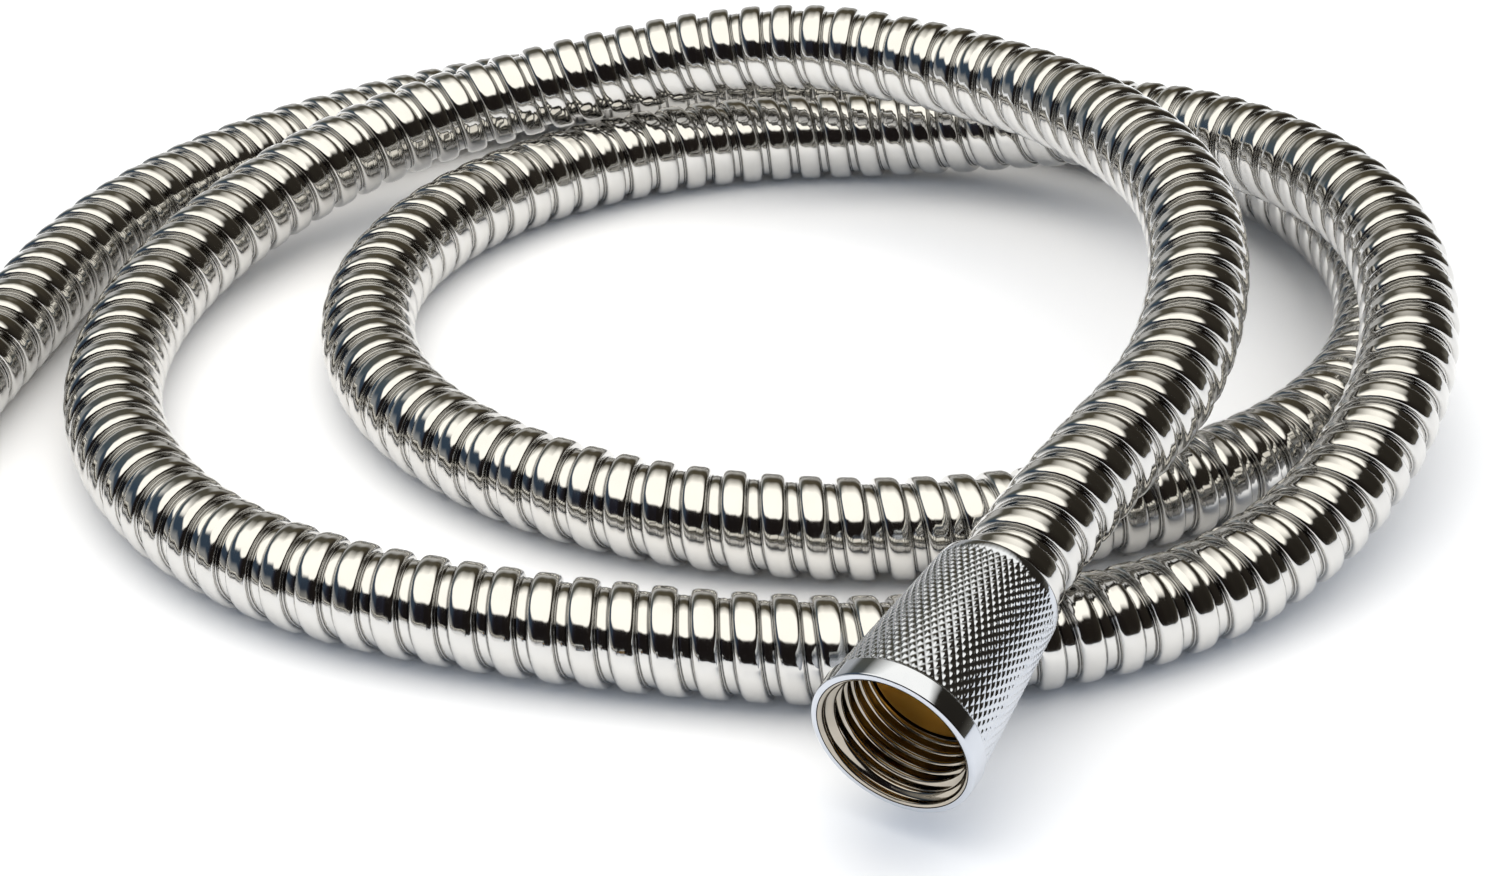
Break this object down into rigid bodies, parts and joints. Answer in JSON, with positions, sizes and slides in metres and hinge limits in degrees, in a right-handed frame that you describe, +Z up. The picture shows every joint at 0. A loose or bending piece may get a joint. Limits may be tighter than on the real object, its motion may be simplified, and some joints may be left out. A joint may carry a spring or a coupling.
{
  "type": "metal-armoured shower hose",
  "caption": "Flexible spiral-armoured metal shower hose lying in loops, with a knurled conical nut at one end and a hexagonal nut at the other.",
  "frame": {"origin": "middle of the bottom of the hose's box, on the surface it lies on", "axes": "+Z up from the surface; the conical nut's mouth faces -Y, the loops lie behind it towards +Y"},
  "size_m": [0.2589, 0.3272, 0.0433],
  "materials": {
    "hose_armour": "polished double-lock strip",
    "inner_liner": "matt",
    "cone_nut": "bright, knurled",
    "cone_tail": "turned, unplated",
    "cone_ferrule": "drawn",
    "cone_slip_ring": "natural acetal",
    "hex_nut": "bright",
    "hex_tail": "turned, unplated",
    "hex_ferrule": "drawn and crimped",
    "hex_slip_ring": "natural acetal",
    "sealing_washer": "matt"
  },
  "bodies": {
    "hose": {"hose_armour": "hose_armour", "inner_liner": "inner_liner", "cone_tail": "cone_tail", "cone_ferrule": "cone_ferrule", "hex_tail": "hex_tail", "hex_ferrule": "hex_ferrule", "sealing_washer": "sealing_washer"},
    "cone_slip_ring": {"cone_slip_ring": "cone_slip_ring"},
    "cone_nut": {"cone_nut": "cone_nut"},
    "hex_slip_ring": {"hex_slip_ring": "hex_slip_ring"},
    "hex_nut": {"hex_nut": "hex_nut"}
  },
  "joints": [
    {"name": "cone_nut_slide", "type": "slide", "parent": "hose", "child": "cone_slip_ring", "axis": [0.4867, 0.8534, 0.1867], "range_m": [0, 0.003]},
    {"name": "cone_nut_spin", "type": "hinge", "parent": "cone_slip_ring", "child": "cone_nut", "pos_m": [0.04188, -0.05342, 0.02008], "axis": [0.4867, 0.8534, 0.1867], "continuous": true},
    {"name": "hex_nut_slide", "type": "slide", "parent": "hose", "child": "hex_slip_ring", "axis": [-0.8321, 0.5547, 0], "range_m": [0, 0.003]},
    {"name": "hex_nut_spin", "type": "hinge", "parent": "hex_slip_ring", "child": "hex_nut", "pos_m": [-0.05569, -0.14918, 0.0139], "axis": [-0.8321, 0.5547, 0], "continuous": true}
  ]
}
